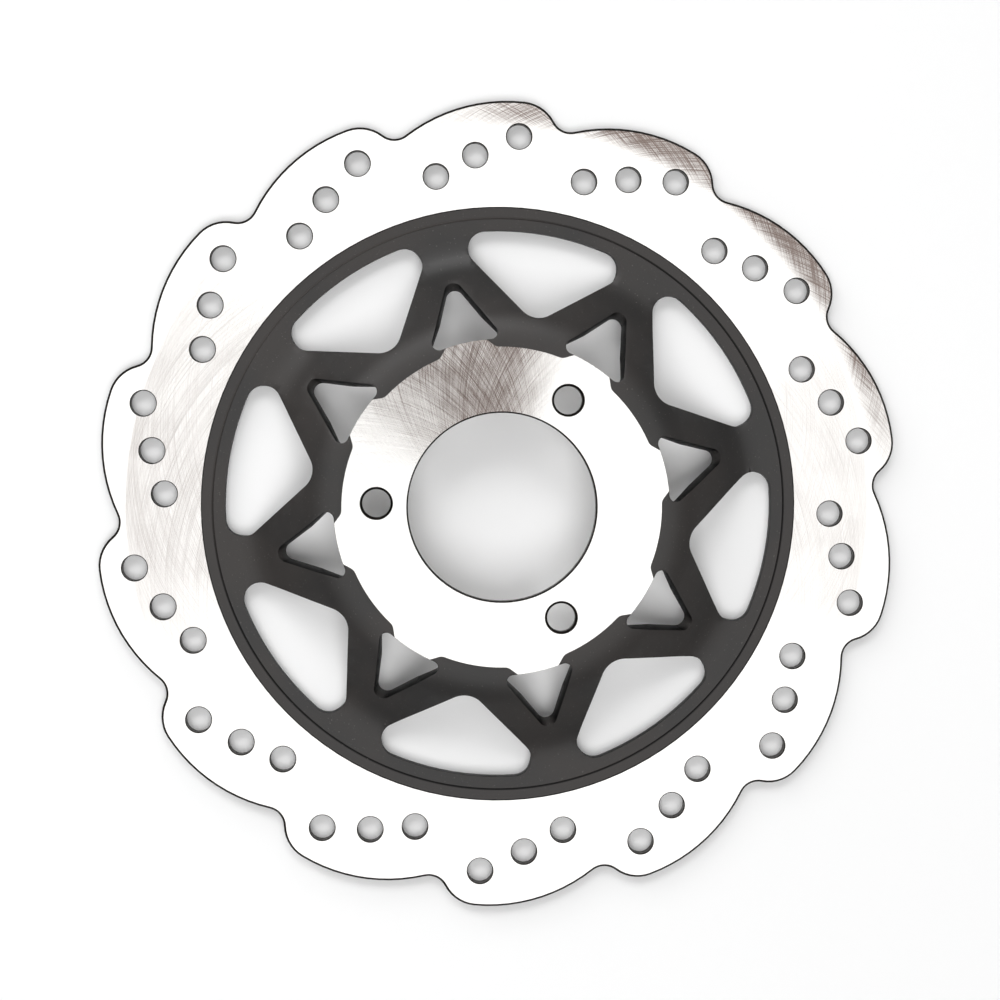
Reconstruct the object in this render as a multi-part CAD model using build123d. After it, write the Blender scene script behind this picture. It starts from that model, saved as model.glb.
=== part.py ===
from build123d import *
from math import cos, radians, sin, sqrt, tan
import os

# One-piece petal brake disc of a light motorcycle, dished towards the wheel hub.
# Millimetres. +Z is the disc's axis, towards the raised hub face. The origin is on the axis, in
# the friction ring's lower face. The blank is split where its finish changes, and the four solids
# meet face to face: ground ring, painted rim, painted and pressed web, ground hub flange.

# Friction ring
RING_THICKNESS = 4.0
RING_INNER_RADIUS = 97.2
RING_UPPER_BREAK = 0.8
RING_LOWER_BREAK = 0.3

# Petals: each one is a long flank arc that turns into a tight nose arc
PETALS = 14
PETAL_REACH = 132.0
FLANK_RADIUS = 54.6
FLANK_ANGLE = 10.5
NOSE_RADIUS = 12.4
NOSE_LAG = 3.8
VALLEY_RADIUS = 6.0

# Cooling holes: one row of three across each petal
VENT_RADIUS = 4.1
VENT_EDGE_BREAK = 0.3
VENT_CIRCLE_RADII = (109.0, 114.3, 120.35)
VENT_ANGLES = (23.5, 16.5, 9.45)

# Carrier: the rim lies in a shallow relief inside the ring, and the web stands a little proud of it
RIM_RELIEF = 0.2
WEB_OUTER_RADIUS = 93.5
WEB_THICKNESS = 4.0
WEB_PROUD = 0.4
WEB_EDGE_BREAK = 0.45

# Dish: the web climbs from the ring to the hub between two bends
HUB_OFFSET = 18.0
DISH_SLOPE = 38.0
BEND_RADIUS = 20.0

# Windows: small ones round the hub with the tip outwards, large ones between them with the tip
# inwards. The straight arms that they leave make a zigzag. A side angle is measured from the
# window's own radial line, and an apex is where the two sides would meet.
WINDOW_PAIRS = 8
SMALL_WINDOW_ANGLE = 12.1
SMALL_APEX_RADIUS = 77.2
SMALL_SIDE_ANGLE = 26.5
SMALL_TIP_RADIUS = 3.0
SMALL_CORNER_RADIUS = 2.3
LARGE_APEX_RADIUS = 59.5
LARGE_SIDE_ANGLE = 52.5
LARGE_TIP_RADIUS = 7.1
LARGE_OUTER_RADIUS = 89.4
LARGE_CORNER_RADIUS = 5.8

# Hub flange
HUB_RADIUS = 51.1
TONGUE_RADIUS = 53.6
TONGUE_TIP_WIDTH = 12.6
TONGUE_ROOT_WIDTH = 17.0
TONGUE_ROOT_RADIUS = 3.0
BORE_RADIUS = 30.0
BORE_EDGE_BREAK = 0.5
BOLT_COUNT = 3
BOLT_CIRCLE_RADIUS = 40.0
BOLT_HOLE_RADIUS = 4.5
BOLT_EDGE_BREAK = 0.8
BOLT_ANGLE = 57.8

# Worked out from the sizes above
PAIR_PITCH = 360 / WINDOW_PAIRS
PETAL_PITCH = 360 / PETALS
HUB_TOP = RING_THICKNESS + HUB_OFFSET
WEB_TOP = RING_THICKNESS + WEB_PROUD
TOOL_BOTTOM = -5.0
TOOL_HEIGHT = 40.0


def polar(radius, angle):
    """Point in plan at a radius and an angle in degrees."""
    return Vector(radius * cos(radians(angle)), radius * sin(radians(angle)))


def crossing(centre_a, radius_a, centre_b, radius_b):
    """The crossing of two circles that lies further from the axis."""
    span = centre_b - centre_a
    along = (radius_a**2 - radius_b**2 + span.length**2) / (2 * span.length)
    across = sqrt(radius_a**2 - along**2)
    middle = centre_a + span.normalized() * along
    side = Vector(-span.Y, span.X).normalized() * across
    return max(middle + side, middle - side, key=lambda point: point.length)


def arc_between(centre, radius, start, end):
    """Counter-clockwise arc about centre from start to end."""
    start_angle = Vector(1, 0).get_signed_angle(start - centre, Vector(0, 0, 1))
    end_angle = Vector(1, 0).get_signed_angle(end - centre, Vector(0, 0, 1))
    return CenterArc(centre, radius, start_angle, (end_angle - start_angle) % 360)


def petal_outline():
    """Plan of the disc's outer edge: nose, flank and a filleted valley for each petal."""
    flank = polar(PETAL_REACH - FLANK_RADIUS, FLANK_ANGLE)
    nose_direction = polar(1, FLANK_ANGLE - NOSE_LAG)
    nose = flank + nose_direction * (FLANK_RADIUS - NOSE_RADIUS)
    crest = flank + nose_direction * FLANK_RADIUS
    next_nose = nose.rotate(Axis.Z, PETAL_PITCH)
    next_valley = crossing(flank, FLANK_RADIUS, next_nose, NOSE_RADIUS)
    valley = next_valley.rotate(Axis.Z, -PETAL_PITCH)
    petal = Curve() + [
        arc_between(nose, NOSE_RADIUS, valley, crest),
        arc_between(flank, FLANK_RADIUS, crest, next_valley),
    ]
    turned = [Rot(0, 0, number * PETAL_PITCH) * petal for number in range(PETALS)]
    outline = make_face([edge for curve in turned for edge in curve.edges()])
    shallowest_valley = PETAL_REACH - NOSE_RADIUS / 2
    valleys = [vertex for vertex in outline.vertices() if Vector(vertex).length < shallowest_valley]
    return fillet(valleys, VALLEY_RADIUS)


def friction_ring():
    """Ground annulus with petals outside and rows of cooling holes."""
    ring = extrude(petal_outline() - Circle(RING_INNER_RADIUS), RING_THICKNESS)
    for level, edge_break in ((-1, RING_UPPER_BREAK), (0, RING_LOWER_BREAK)):
        level_edges = ring.edges().group_by(Axis.Z)[level]
        petal_edges = [edge for edge in level_edges if abs(edge.radius - RING_INNER_RADIUS) > 0.01]
        ring = chamfer(petal_edges, edge_break)
    vent = Pos(0, 0, RING_THICKNESS / 2) * chamfered_hole(VENT_RADIUS, RING_THICKNESS, VENT_EDGE_BREAK)
    vents = []
    for petal in range(PETALS):
        for radius, angle in zip(VENT_CIRCLE_RADII, VENT_ANGLES):
            vents.append(Pos(polar(radius, angle + petal * PETAL_PITCH)) * vent)
    return ring - vents


def chamfered_hole(radius, depth, edge_break):
    """Tool for a through hole with both mouths chamfered, centred on the origin."""
    mouth_height = edge_break + 1
    mouth = Cone(radius, radius + mouth_height, mouth_height)
    upper = Pos(0, 0, depth / 2 - edge_break + mouth_height / 2) * mouth
    lower = Rot(180, 0, 0) * upper
    return Cylinder(radius, depth + 2) + upper + lower


def carrier_rim():
    """Painted land between the ring and the web, relieved on both sides."""
    land = Circle(RING_INNER_RADIUS) - Circle(WEB_OUTER_RADIUS)
    return extrude(Pos(0, 0, RIM_RELIEF) * land, RING_THICKNESS - 2 * RIM_RELIEF)


def wedge(apex_radius, side_angle, direction):
    """Triangle with its apex on +X that opens outwards (direction 1) or inwards (-1)."""
    opening = WEB_OUTER_RADIUS * cos(radians(side_angle)) * direction
    half_width = WEB_OUTER_RADIUS * sin(radians(side_angle)) * direction
    far = apex_radius + opening
    return Polygon((apex_radius, 0), (far, -half_width), (far, half_width), align=None)


def small_window():
    """Plan of a window between the hub and two arms, tip outwards, along +X."""
    pieces = wedge(SMALL_APEX_RADIUS, SMALL_SIDE_ANGLE, -1) - Circle(TONGUE_RADIUS)
    window = pieces.faces().sort_by(Axis.X)[-1]
    window = fillet(window.vertices().sort_by(Axis.X)[:2], SMALL_CORNER_RADIUS)
    return fillet(window.vertices().sort_by(Axis.X)[-1], SMALL_TIP_RADIUS)


def large_window():
    """Plan of a window between the rim and two arms, tip inwards, along +X."""
    window = wedge(LARGE_APEX_RADIUS, LARGE_SIDE_ANGLE, 1) & Circle(LARGE_OUTER_RADIUS)
    window = fillet(window.vertices().sort_by(Axis.X)[1:], LARGE_CORNER_RADIUS)
    return fillet(window.vertices().sort_by(Axis.X)[0], LARGE_TIP_RADIUS)


def window_tools():
    """Upright prisms of all the windows."""
    plans = []
    for pair in range(WINDOW_PAIRS):
        turn = SMALL_WINDOW_ANGLE + pair * PAIR_PITCH
        plans.append(Rot(0, 0, turn) * small_window())
        plans.append(Rot(0, 0, turn + PAIR_PITCH / 2) * large_window())
    return extrude(Pos(0, 0, TOOL_BOTTOM) * (Sketch() + plans), TOOL_HEIGHT, dir=(0, 0, 1))


def dished_surface():
    """Upper surface of the web: flat at the rim, sloped in the dish, level with the hub."""
    run = (HUB_TOP - WEB_TOP) / tan(radians(DISH_SLOPE))
    shoulder_radius = HUB_RADIUS + BEND_RADIUS * tan(radians(DISH_SLOPE / 2))
    profile = FilletPolyline(
        (BORE_RADIUS, 0, HUB_TOP),
        (shoulder_radius, 0, HUB_TOP),
        (shoulder_radius + run, 0, WEB_TOP),
        (WEB_OUTER_RADIUS, 0, WEB_TOP),
        radius=BEND_RADIUS,
    )
    return Shell.revolve(Wire(profile.edges()), 360, Axis.Z)


def hub_plan():
    """Plan of the hub flange: a circle with a short tapered tongue out to each small window."""
    tip = TONGUE_TIP_WIDTH / 2
    taper = (TONGUE_ROOT_WIDTH - TONGUE_TIP_WIDTH) / 2
    height = TONGUE_RADIUS - HUB_RADIUS
    trapezoid = Polygon(
        (HUB_RADIUS - height, -tip - 2 * taper),
        (TONGUE_RADIUS, -tip),
        (TONGUE_RADIUS + height, 0),
        (TONGUE_RADIUS, tip),
        (HUB_RADIUS - height, tip + 2 * taper),
        align=None,
    )
    tongue = trapezoid & Circle(TONGUE_RADIUS)
    turns = [SMALL_WINDOW_ANGLE + pair * PAIR_PITCH for pair in range(WINDOW_PAIRS)]
    plan = Circle(HUB_RADIUS) + [Rot(0, 0, turn) * tongue for turn in turns]
    middle_radius = (HUB_RADIUS + TONGUE_RADIUS) / 2
    roots = [vertex for vertex in plan.vertices() if Vector(vertex).length < middle_radius]
    return fillet(roots, TONGUE_ROOT_RADIUS)


def carrier_web():
    """Pressed zigzag web. Its window walls stand square to the sheet, which was cut flat."""
    cutters = window_tools() + extrude(Pos(0, 0, TOOL_BOTTOM) * Circle(HUB_RADIUS), TOOL_HEIGHT)
    web = Part()
    for face in dished_surface().faces():
        for piece in (Sketch() + face - cutters).faces():
            web += Solid.thicken(piece, WEB_THICKNESS, normal_override=(0, 0, -1))
    web -= extrude(Pos(0, 0, TOOL_BOTTOM) * hub_plan(), TOOL_HEIGHT)
    outer_edges = [
        edge
        for edge in web.edges().filter_by(GeomType.CIRCLE)
        if abs(edge.radius - WEB_OUTER_RADIUS) < 0.01
    ]
    return chamfer(outer_edges, WEB_EDGE_BREAK)


def hub_flange():
    """Ground flange with the spigot bore and three chamfered bolt holes."""
    flange = extrude(Pos(0, 0, HUB_TOP - WEB_THICKNESS) * hub_plan(), WEB_THICKNESS)
    middle = Pos(0, 0, HUB_TOP - WEB_THICKNESS / 2)
    flange -= middle * chamfered_hole(BORE_RADIUS, WEB_THICKNESS, BORE_EDGE_BREAK)
    bolt_hole = middle * chamfered_hole(BOLT_HOLE_RADIUS, WEB_THICKNESS, BOLT_EDGE_BREAK)
    for bolt in range(BOLT_COUNT):
        angle = BOLT_ANGLE + bolt * 360 / BOLT_COUNT
        flange -= Pos(polar(BOLT_CIRCLE_RADIUS, angle)) * bolt_hole
    return flange


os.makedirs("parts", exist_ok=True)
NODES = {
    "friction_ring": friction_ring,
    "carrier_rim": carrier_rim,
    "carrier_web": carrier_web,
    "hub_flange": hub_flange,
}
for name, build in NODES.items():
    export_step(build(), f"parts/{name}.step")
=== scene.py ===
"""A dished petal brake disc on a white table, in soft studio light.

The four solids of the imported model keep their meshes. Modifiers soften the edges of two of them,
and all four get procedural finishes: crossed grinding marks on the steel, and a satin black coat on
the carrier. Everything is in metres, with the disc's axis on Z and the table at z = 0.
"""
import math

import bpy
from mathutils import Matrix, Vector

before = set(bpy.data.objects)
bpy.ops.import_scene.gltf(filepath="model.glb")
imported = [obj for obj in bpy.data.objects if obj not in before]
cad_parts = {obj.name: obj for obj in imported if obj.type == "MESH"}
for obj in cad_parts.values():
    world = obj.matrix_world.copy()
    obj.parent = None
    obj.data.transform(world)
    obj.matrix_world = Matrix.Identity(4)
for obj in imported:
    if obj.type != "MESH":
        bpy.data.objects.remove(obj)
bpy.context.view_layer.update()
scene = bpy.context.scene

MM = 0.001

# Camera: a 70 mm lens held above the disc, a little off its axis
CAMERA_POSITION = Vector((-0.02951, 0.03749, 0.64121))
CAMERA_AIM = Vector((0.00034, 0.03399, 0.004))
CAMERA_ROLL = math.radians(-0.36)
CAMERA_LENS = 70.2
CAMERA_SENSOR = 36.0
CAMERA_SHIFT = -0.1

# Places on the disc. No steel lies between the hub's limit and the ring's.
HUB_LIMIT = 60.0 * MM
RING_LIMIT = 90.0 * MM
RIM_INNER_RADIUS = 93.5 * MM
RIM_OUTER_RADIUS = 97.2 * MM
# The step and the seam carry lines of painted shade this wide.
STEP_WIDTH = 0.22 * MM
SEAM_WIDTH = 0.45 * MM
WEB_SOFT_EDGE = 0.35 * MM
HUB_SOFT_EDGE = 0.12 * MM

# Grinding marks are arcs of a cup wheel's rim. The wheel's centre circles the disc's axis.
CUP_RADIUS = 76.5 * MM
CUP_OFFSET = 70.1 * MM
CUP_PITCH = 0.17 * MM
BAND_CUP_RADIUS = 92.0 * MM
BAND_CUP_OFFSET = 30.5 * MM
BAND_CUP_PITCH = 0.18 * MM
BAND_OUTER_RADIUS = 121.5 * MM
MARK_LENGTH = 11.0 * MM

# Fans of painted reflection, where grinding marks are painted darker in place of the dark surroundings they
# mirror: the angle of the middle, the half width and the strength
HUB_PAINTED_REFLECTION_CORE = (97, 34, 0.34)
HUB_PAINTED_REFLECTION = (109, 50, 0.60)
PETAL_PAINTED_REFLECTION = (52, 57, 1.15)
LEFT_PAINTED_REFLECTION = (172, 42, 0.36)
RIGHT_PAINTED_REFLECTION = (2, 34, 0.27)


class Shader:
    """Short calls that add nodes to one material's or world's tree."""

    def __init__(self, owner):
        owner.use_nodes = True
        self.tree = owner.node_tree
        self.tree.nodes.clear()

    def node(self, kind, inputs=None, **settings):
        node = self.tree.nodes.new(kind)
        for name, value in settings.items():
            setattr(node, name, value)
        for name, value in (inputs or {}).items():
            self.feed(node.inputs[name], value)
        return node

    def feed(self, socket, value):
        if isinstance(value, bpy.types.NodeSocket):
            self.tree.links.new(value, socket)
        else:
            socket.default_value = value

    def math(self, operation, *values, clamp=False):
        node = self.node("ShaderNodeMath", operation=operation, use_clamp=clamp)
        for socket, value in zip(node.inputs, values):
            self.feed(socket, value)
        return node.outputs[0]

    def add(self, *values):
        return self.math("ADD", *values)

    def subtract(self, *values):
        return self.math("SUBTRACT", *values)

    def times(self, *values):
        return self.math("MULTIPLY", *values)

    def ramp(self, value, start, end, low=0.0, high=1.0):
        """low where value is at start and high where it is at end, with smooth shoulders."""
        node = self.node("ShaderNodeMapRange", interpolation_type="SMOOTHSTEP")
        for socket, number in zip(node.inputs, (value, start, end, low, high)):
            self.feed(socket, number)
        return node.outputs["Result"]

    def vector(self, x, y, z=0.0):
        return self.node("ShaderNodeCombineXYZ", {"X": x, "Y": y, "Z": z}).outputs["Vector"]

    def noise(self, vector, scale, detail=2.0, roughness=0.5):
        inputs = {"Vector": vector, "Scale": scale, "Detail": detail, "Roughness": roughness}
        return self.node("ShaderNodeTexNoise", inputs, noise_dimensions="3D").outputs["Fac"]

    def blend(self, factor, first, second, kind="MIX"):
        node = self.node("ShaderNodeMix", data_type="RGBA", blend_type=kind)
        for socket, value in zip((node.inputs[0], node.inputs[6], node.inputs[7]), (factor, first, second)):
            self.feed(socket, value)
        return node.outputs[2]

    def blend_values(self, factor, first, second):
        return self.node("ShaderNodeMix", {0: factor, 2: first, 3: second}).outputs[0]

    def blend_vectors(self, factor, first, second):
        node = self.node("ShaderNodeMix", data_type="VECTOR")
        for socket, value in zip((node.inputs[0], node.inputs[4], node.inputs[5]), (factor, first, second)):
            self.feed(socket, value)
        return node.outputs[1]

    def bump(self, height, distance, strength=1.0, normal=None):
        inputs = {"Height": height, "Distance": distance, "Strength": strength}
        node = self.node("ShaderNodeBump", inputs)
        if normal is not None:
            self.feed(node.inputs["Normal"], normal)
        return node.outputs["Normal"]

    def finish(self, shader, output="ShaderNodeOutputMaterial"):
        target = self.node(output)
        self.tree.links.new(shader, target.inputs["Surface"])


class DiscPlace:
    """Where a point of the disc lies: its position, radius and angle, and how far its face tilts."""

    def __init__(self, shader):
        self.position = shader.node("ShaderNodeTexCoord").outputs["Object"]
        parts = shader.node("ShaderNodeSeparateXYZ", {"Vector": self.position})
        self.x, self.y, self.z = parts.outputs
        square = shader.add(shader.times(self.x, self.x), shader.times(self.y, self.y))
        self.radius = shader.math("SQRT", square)
        self.angle = shader.math("ARCTAN2", self.y, self.x)
        normal = shader.node("ShaderNodeNewGeometry").outputs["True Normal"]
        upright = shader.node("ShaderNodeSeparateXYZ", {"Vector": normal}).outputs["Z"]
        self.flatness = shader.math("ABSOLUTE", upright)


def sector(shader, place, centre, half_width):
    """1 on the radial line at centre degrees, falling to 0 at half_width degrees from it."""
    turned = shader.subtract(place.angle, math.radians(centre))
    closeness = shader.math("COSINE", turned)
    return shader.ramp(closeness, math.cos(math.radians(half_width)), 1.0)


def painted_reflection_fan(shader, place, land, centre, half_width, strength):
    """A sector of painted reflection on one land of the disc, as strong as strength in its middle."""
    return shader.times(shader.times(sector(shader, place, centre, half_width), land), strength)


def wheel_marks(shader, place, cup_radius, cup_offset, side, pitch, seed):
    """Marks left by a cup wheel, and the direction across them.

    Every mark is an arc of cup_radius whose centre lies cup_offset from the axis. Two such arcs
    pass through a point, and side (1 or -1) picks one.
    """
    square = shader.times(place.radius, place.radius)
    top = shader.add(square, cup_offset**2 - cup_radius**2)
    bottom = shader.times(place.radius, 2 * cup_offset)
    ratio = shader.math("DIVIDE", top, bottom)
    ratio = shader.math("MAXIMUM", shader.math("MINIMUM", ratio, 1.0), -1.0)
    swing = shader.times(shader.math("ARCCOSINE", ratio), side)
    turn = shader.add(place.angle, swing)
    east, north = shader.math("COSINE", turn), shader.math("SINE", turn)
    reach = cup_offset / pitch
    along = shader.add(shader.times(place.radius, 1 / MARK_LENGTH), seed)
    grain = shader.vector(shader.times(east, reach), shader.times(north, reach), along)
    fine = shader.noise(grain, 1.0, detail=3.0, roughness=0.65)
    coarse = shader.noise(grain, 0.22, detail=1.0)
    marks = shader.add(shader.times(fine, 0.82), shader.times(coarse, 0.18))
    across = shader.vector(
        shader.subtract(place.x, shader.times(east, cup_offset)),
        shader.subtract(place.y, shader.times(north, cup_offset)),
    )
    return marks, across


def crossed_marks(shader, place, cup_radius, cup_offset, pitch, seed):
    """Both families of marks of one cup wheel, with the direction across whichever is deeper."""
    first, first_across = wheel_marks(shader, place, cup_radius, cup_offset, 1, pitch, seed)
    second, second_across = wheel_marks(shader, place, cup_radius, cup_offset, -1, pitch, seed + 40)
    pick = shader.ramp(shader.subtract(second, first), -0.02, 0.02)
    across = shader.blend_vectors(pick, first_across, second_across)
    return shader.math("MAXIMUM", first, second), shader.math("MINIMUM", first, second), across


def ground_steel():
    """Surface-ground steel with crossed wheel marks, fans of painted reflection, edge breaks painted
    near-black as a painted dark reflection, and dull cut walls.
    """
    material = bpy.data.materials.new("ground_steel")
    shader = Shader(material)
    place = DiscPlace(shader)

    on_ring = shader.ramp(place.radius, HUB_LIMIT, RING_LIMIT)
    on_hub = shader.subtract(1.0, on_ring)
    band_end = (BAND_OUTER_RADIUS - 0.4 * MM, BAND_OUTER_RADIUS + 0.4 * MM)
    in_band = shader.times(on_ring, shader.ramp(place.radius, *band_end, 1.0, 0.0))
    on_petals = shader.ramp(place.radius, BAND_OUTER_RADIUS - 1 * MM, BAND_OUTER_RADIUS + 7 * MM)

    high, low, across = crossed_marks(shader, place, CUP_RADIUS, CUP_OFFSET, CUP_PITCH, 0.0)
    band_high, band_low, band_across = crossed_marks(
        shader, place, BAND_CUP_RADIUS, BAND_CUP_OFFSET, BAND_CUP_PITCH, 7.0
    )
    peaks = shader.blend_values(in_band, high, band_high)
    troughs = shader.blend_values(in_band, low, band_low)
    tangent = shader.blend_vectors(in_band, across, band_across)

    painted_reflection_fans = painted_reflection_fan(shader, place, on_petals, *PETAL_PAINTED_REFLECTION)
    for land, sizes in (
        (on_hub, HUB_PAINTED_REFLECTION_CORE),
        (on_hub, HUB_PAINTED_REFLECTION),
        (in_band, LEFT_PAINTED_REFLECTION),
        (in_band, RIGHT_PAINTED_REFLECTION),
    ):
        painted_reflection_fans = shader.add(painted_reflection_fans, painted_reflection_fan(shader, place, land, *sizes))

    strands = shader.ramp(troughs, 0.34, 0.60, 1.50, 0.30)
    drift = shader.noise(place.position, 60.0, detail=2.0)
    # Painted reflection: inside the fans the marks are painted towards a dark brown, as if they mirrored
    # dark surroundings.
    painted_reflection_in_marks = shader.times(shader.times(painted_reflection_fans, strands), shader.ramp(drift, 0.3, 0.7, 0.8, 1.15))
    bright = (0.86, 0.845, 0.825, 1)
    painted_dark_reflection = (0.170, 0.134, 0.119, 1)
    face_colour = shader.blend(shader.math("MINIMUM", painted_reflection_in_marks, 1.0), bright, painted_dark_reflection)

    wall_grain = shader.noise(place.position, 900.0, detail=4.0, roughness=0.6)
    # Edge breaks are painted near-black, a painted dark reflection of the surroundings; upright cut walls
    # keep a dull grey of their own.
    dark, painted_dark_edge_lighter = (0.005, 0.004, 0.0035, 1), (0.034, 0.029, 0.026, 1)
    painted_dark_edge_and_wall_colour = shader.blend(wall_grain, dark, painted_dark_edge_lighter)
    upright = shader.ramp(place.flatness, 0.2, 0.5, 0.35, 0.0)
    dull = (0.16, 0.15, 0.14, 1)
    painted_dark_edge_and_wall_colour = shader.blend(upright, painted_dark_edge_and_wall_colour, dull)
    face = shader.ramp(place.flatness, 0.80, 0.97)
    colour = shader.blend(face, painted_dark_edge_and_wall_colour, face_colour)

    face_roughness = shader.ramp(peaks, 0.3, 0.8, 0.22, 0.36)
    wall_roughness = shader.ramp(wall_grain, 0.3, 0.7, 0.42, 0.62)
    roughness = shader.blend_values(face, wall_roughness, face_roughness)

    face_height = shader.add(peaks, shader.times(troughs, -0.6))
    normal = shader.bump(shader.times(face_height, face), 0.012 * MM, 0.5)
    wall_height = shader.times(wall_grain, shader.subtract(1.0, face))
    normal = shader.bump(wall_height, 0.15 * MM, 0.6, normal)
    principled = shader.node("ShaderNodeBsdfPrincipled", {
        "Base Color": colour,
        "Metallic": 1.0,
        "Roughness": roughness,
        "Anisotropic": 0.75,
        "Tangent": tangent,
        "Normal": normal,
    })
    shader.finish(principled.outputs["BSDF"])
    return material


def black_coat():
    """Satin black coat with a fine orange peel and dust, with painted shade in the step, the seam and on
    walls, and a painted highlight on the step at the upper left.
    """
    material = bpy.data.materials.new("black_paint")
    shader = Shader(material)
    place = DiscPlace(shader)

    cloud = shader.noise(place.position, 28.0, detail=3.0, roughness=0.55)
    peel = shader.noise(place.position, 1100.0, detail=2.0, roughness=0.5)
    speck = shader.noise(place.position, 2600.0, detail=0.0)
    warm = (0.023, 0.0200, 0.0186, 1)
    cool = (0.016, 0.0150, 0.0146, 1)
    land = (0.024, 0.0205, 0.0192, 1)
    colour = shader.blend(shader.ramp(cloud, 0.35, 0.65), cool, warm)
    on_land = shader.ramp(place.radius, RIM_INNER_RADIUS, RIM_INNER_RADIUS + 0.4 * MM, 0.0, 0.5)
    colour = shader.blend(on_land, colour, land)

    # Painted shade: a thin line in the step and in the seam, and the painted walls, go near-black.
    from_step = shader.math("ABSOLUTE", shader.subtract(place.radius, RIM_INNER_RADIUS))
    in_step = shader.ramp(from_step, STEP_WIDTH, 2 * STEP_WIDTH, 0.75, 0.0)
    in_seam = shader.ramp(place.radius, RIM_OUTER_RADIUS - SEAM_WIDTH, RIM_OUTER_RADIUS - 0.2 * MM)
    wall = shader.ramp(place.flatness, 0.25, 0.65, 1.0, 0.0)
    painted_shade_mask = shader.math("MAXIMUM", shader.math("MAXIMUM", in_step, in_seam), wall)
    painted_shade = (0.003, 0.003, 0.003, 1)
    painted_step_highlight = (0.075, 0.068, 0.064, 1)
    # Painted highlight: on the upper-left side the step line is painted lighter instead of dark.
    painted_highlight_on_step = shader.times(in_step, sector(shader, place, 128, 75))
    colour = shader.blend(painted_shade_mask, colour, shader.blend(painted_highlight_on_step, painted_shade, painted_step_highlight))
    dust = shader.ramp(speck, 0.79, 0.86, 0.0, 0.25)
    colour = shader.blend(dust, colour, (0.30, 0.28, 0.26, 1))

    turn = shader.vector(shader.times(place.radius, 900.0), shader.times(place.angle, 2.2), place.z)
    rings = shader.subtract(shader.noise(turn, 1.0, detail=2.0), 0.5)
    satin = shader.ramp(cloud, 0.3, 0.7, 0.36, 0.44)
    normal = shader.bump(peel, 0.03 * MM, 0.5)
    principled = shader.node("ShaderNodeBsdfPrincipled", {
        "Base Color": colour,
        "Metallic": 0.0,
        "Roughness": shader.add(satin, shader.times(rings, 0.08)),
        "IOR": 1.41,
        "Specular IOR Level": shader.add(0.5, shader.times(painted_shade_mask, -0.42)),
        "Normal": normal,
    })
    shader.finish(principled.outputs["BSDF"])
    return material


def table_top():
    """Matt white table."""
    material = bpy.data.materials.new("table_white")
    shader = Shader(material)
    principled = shader.node("ShaderNodeBsdfPrincipled", {
        "Base Color": (0.9, 0.9, 0.9, 1),
        "Roughness": 0.7,
    })
    shader.finish(principled.outputs["BSDF"])
    return material


def soften(node, width, segments=2, angle=35):
    """Rounds a CAD node's sharp edges with modifiers. Its own mesh stays as it is."""
    weld = node.modifiers.new("weld", "WELD")
    weld.merge_threshold = 1e-6
    bevel = node.modifiers.new("soft_edges", "BEVEL")
    bevel.width = width
    bevel.segments = segments
    bevel.limit_method = "ANGLE"
    bevel.angle_limit = math.radians(angle)
    bevel.harden_normals = True


def dress_nodes():
    steel, paint = ground_steel(), black_coat()
    finishes = {
        "friction_ring": (steel, "ground_steel"),
        "hub_flange": (steel, "ground_steel"),
        "carrier_rim": (paint, "black_paint"),
        "carrier_web": (paint, "black_paint"),
    }
    for name, (material, slot) in finishes.items():
        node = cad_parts[name]
        node.material_slots[0].material = material


def make_table():
    size = 30.0
    mesh = bpy.data.meshes.new("table")
    half = size / 2
    corners = [(-half, -half, 0), (half, -half, 0), (half, half, 0), (-half, half, 0)]
    mesh.from_pydata(corners, [], [(0, 1, 2, 3)])
    table = bpy.data.objects.new("table", mesh)
    table.data.materials.append(table_top())
    scene.collection.objects.link(table)


def aim(thing, position, target, side_hint=Vector((0, 1, 0)), roll=0.0):
    """Places thing at position, looking at target, with side_hint upwards in its view."""
    forward = (target - position).normalized()
    right = forward.cross(side_hint).normalized()
    up = right.cross(forward)
    turn = Matrix((right, up, -forward)).transposed().to_4x4()
    thing.matrix_world = Matrix.Translation(position) @ turn @ Matrix.Rotation(roll, 4, "Z")


def make_camera():
    data = bpy.data.cameras.new("camera")
    data.sensor_width = CAMERA_SENSOR
    data.lens = CAMERA_LENS
    data.shift_y = CAMERA_SHIFT
    camera = bpy.data.objects.new("camera", data)
    scene.collection.objects.link(camera)
    aim(camera, CAMERA_POSITION, CAMERA_AIM, roll=CAMERA_ROLL)
    scene.camera = camera


def softbox(name, position, size, radiance, diffuse=True, glossy=True):
    """An area light aimed at the disc. It can be left out of matt surfaces or of reflections."""
    width, height = size
    data = bpy.data.lights.new(name, "AREA")
    data.shape = "RECTANGLE"
    data.size, data.size_y = width, height
    data.energy = radiance * math.pi * width * height
    light = bpy.data.objects.new(name, data)
    scene.collection.objects.link(light)
    aim(light, Vector(position), Vector((0, 0, 0)), Vector((0.02, 1, 0.3)))
    light.visible_camera = False
    light.visible_diffuse = diffuse
    light.visible_glossy = glossy


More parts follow.
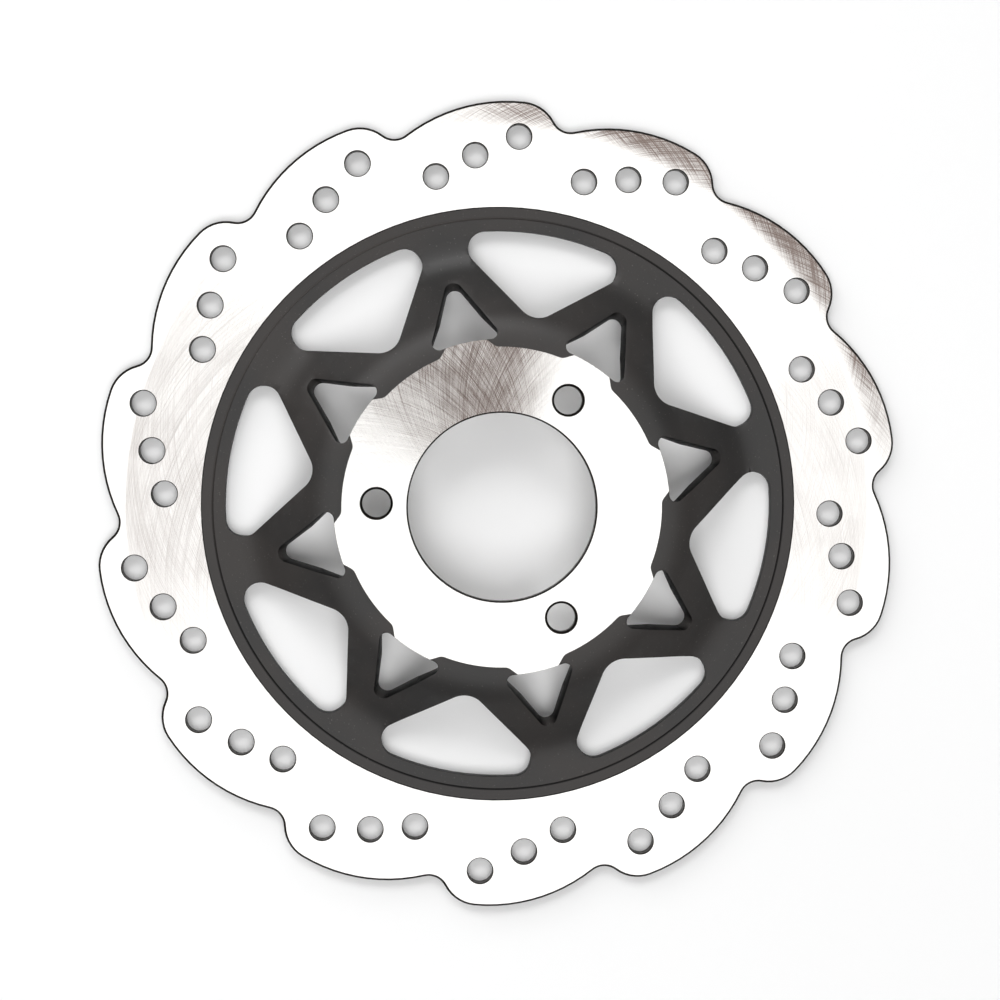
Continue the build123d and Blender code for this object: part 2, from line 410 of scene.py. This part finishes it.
def make_lights():
    """A pale ceiling that the steel mirrors, a high key from the front and windows behind."""
    back_left = (-1.33, 1.33, 0.68)
    softbox("ceiling", (-0.05, -0.1, 1.4), size=(2.6, 2.6), radiance=1.30, diffuse=False)
    softbox("front_key", (0, -0.71, 1.76), size=(1.3, 1.3), radiance=3.6, glossy=False)
    softbox("back_high", (0, 1.41, 1.41), size=(1.0, 0.6), radiance=5.4)
    softbox("back_left_high", (-1.0, 1.0, 1.41), size=(0.8, 0.8), radiance=2.8)
    softbox("back_left_low", back_left, size=(1.0, 0.7), radiance=5.1, glossy=False)
    softbox("back_left_card", back_left, size=(1.5, 0.8), radiance=1.3, diffuse=False)
    softbox("back_low", (0, 1.88, 0.68), size=(0.8, 0.6), radiance=3.0, glossy=False)


def camera_shade():
    """The dark camera that the steel mirrors. The camera itself does not see it."""
    mesh = bpy.data.meshes.new("camera_shade")
    radius = 0.065
    steps = 32
    turns = [2 * math.pi * step / steps for step in range(steps)]
    corners = [(radius * math.cos(turn), radius * math.sin(turn), 0) for turn in turns]
    mesh.from_pydata(corners, [], [range(steps)])
    shade = bpy.data.objects.new("camera_shade", mesh)
    shade.location = CAMERA_POSITION + Vector((0, 0, 0.03))
    shade.visible_camera = False
    material = bpy.data.materials.new("camera_black")
    shader = Shader(material)
    principled = shader.node("ShaderNodeBsdfPrincipled", {"Base Color": (0.02, 0.02, 0.02, 1)})
    shader.finish(principled.outputs["BSDF"])
    mesh.materials.append(material)
    scene.collection.objects.link(shade)


def make_room():
    """Grey surroundings, a little brighter along the horizon."""
    world = bpy.data.worlds.new("studio")
    scene.world = world
    shader = Shader(world)
    direction = shader.node("ShaderNodeTexCoord").outputs["Generated"]
    height = shader.node("ShaderNodeSeparateXYZ", {"Vector": direction}).outputs["Z"]
    level = shader.ramp(height, 0.15, 0.60, 0.40, 0.26)
    background = shader.node("ShaderNodeBackground", {"Color": (1, 1, 1, 1), "Strength": level})
    shader.finish(background.outputs["Background"], "ShaderNodeOutputWorld")


scene.view_settings.view_transform = "Standard"
make_camera()
make_room()
make_lights()
camera_shade()
make_table()
dress_nodes()
soften(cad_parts["carrier_web"], WEB_SOFT_EDGE)
soften(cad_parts["hub_flange"], HUB_SOFT_EDGE)
